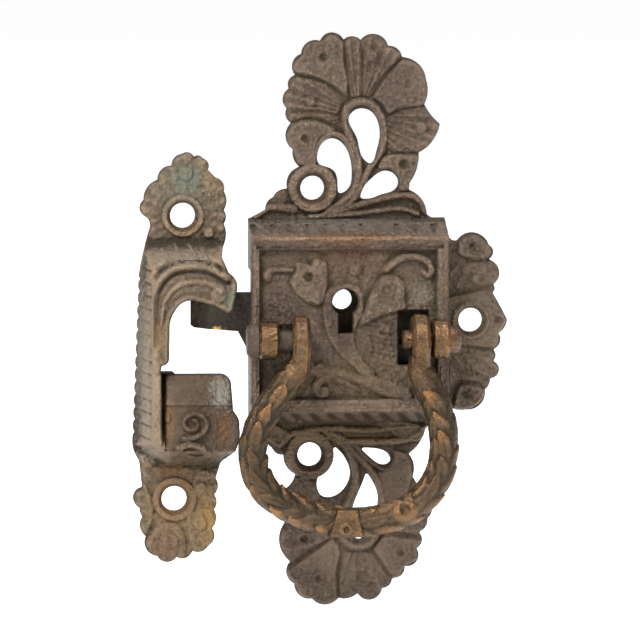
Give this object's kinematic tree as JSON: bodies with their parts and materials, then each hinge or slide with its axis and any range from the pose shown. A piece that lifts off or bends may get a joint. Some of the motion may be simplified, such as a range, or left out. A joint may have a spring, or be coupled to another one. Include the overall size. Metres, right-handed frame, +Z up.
{
  "type": "thumb latch",
  "caption": "Surface thumb latch in cast bronze with a ring pull, lifting tongue, key lock and separate hooked keeper.",
  "frame": {"origin": "middle of the case on the flat back that lies on the door", "axes": "+Z up, the ornamented face looks along -Y, +X to the right as seen from the front"},
  "size_m": [0.067, 0.0177, 0.1022],
  "materials": {
    "dark_bronze": "cast bronze with a dark brown patina",
    "warm_bronze": "cast bronze, warm brown, rubbed by the hand",
    "ochre_bronze": "cast bronze, brown with ochre and green deposits",
    "black_lever": "cast brass, nearly black, bright where it rubs",
    "old_steel": "dull steel with a little rust",
    "spring_wire": "drawn spring steel",
    "sheet_brass": "rolled sheet, dull"
  },
  "bodies": {
    "case": {"face_casting": "dark_bronze", "back_cover": "sheet_brass", "cover_screws": "old_steel", "left_hinge_pin": "old_steel", "right_hinge_screw": "warm_bronze", "lever_stud": "old_steel", "lever_washer": "old_steel", "lever_spring": "spring_wire", "spring_seat_pin": "old_steel", "slide_pins": "old_steel", "slide_leaf": "spring_wire", "leaf_rivet": "old_steel", "keeper": "ochre_bronze"},
    "ring": {"ring_pull": "warm_bronze"},
    "lever": {"latch_lever": "black_lever"},
    "slide": {"lock_slide": "sheet_brass"}
  },
  "joints": [
    {"name": "ring_swing", "type": "hinge", "parent": "case", "child": "ring", "pos_m": [0, -0.0132, -0.0026], "axis": [-1, 0, 0], "range_deg": [0, 25]},
    {"name": "lever_turn", "type": "hinge", "parent": "case", "child": "lever", "pos_m": [-0.005, -0.0039, -0.0063], "axis": [0, 1, 0], "range_deg": [0, 14.4], "stiffness_Nm_per_rad": 0.03, "springref_deg": -5.73, "deforming": ["lever_spring"]},
    {"name": "slide_throw", "type": "slide", "parent": "case", "child": "slide", "axis": [0, 0, -1], "range_m": [0, 0.002]}
  ],
  "couplings": [
    {"joint": "lever_turn", "follows": "ring_swing", "ratio": 0.575}
  ]
}
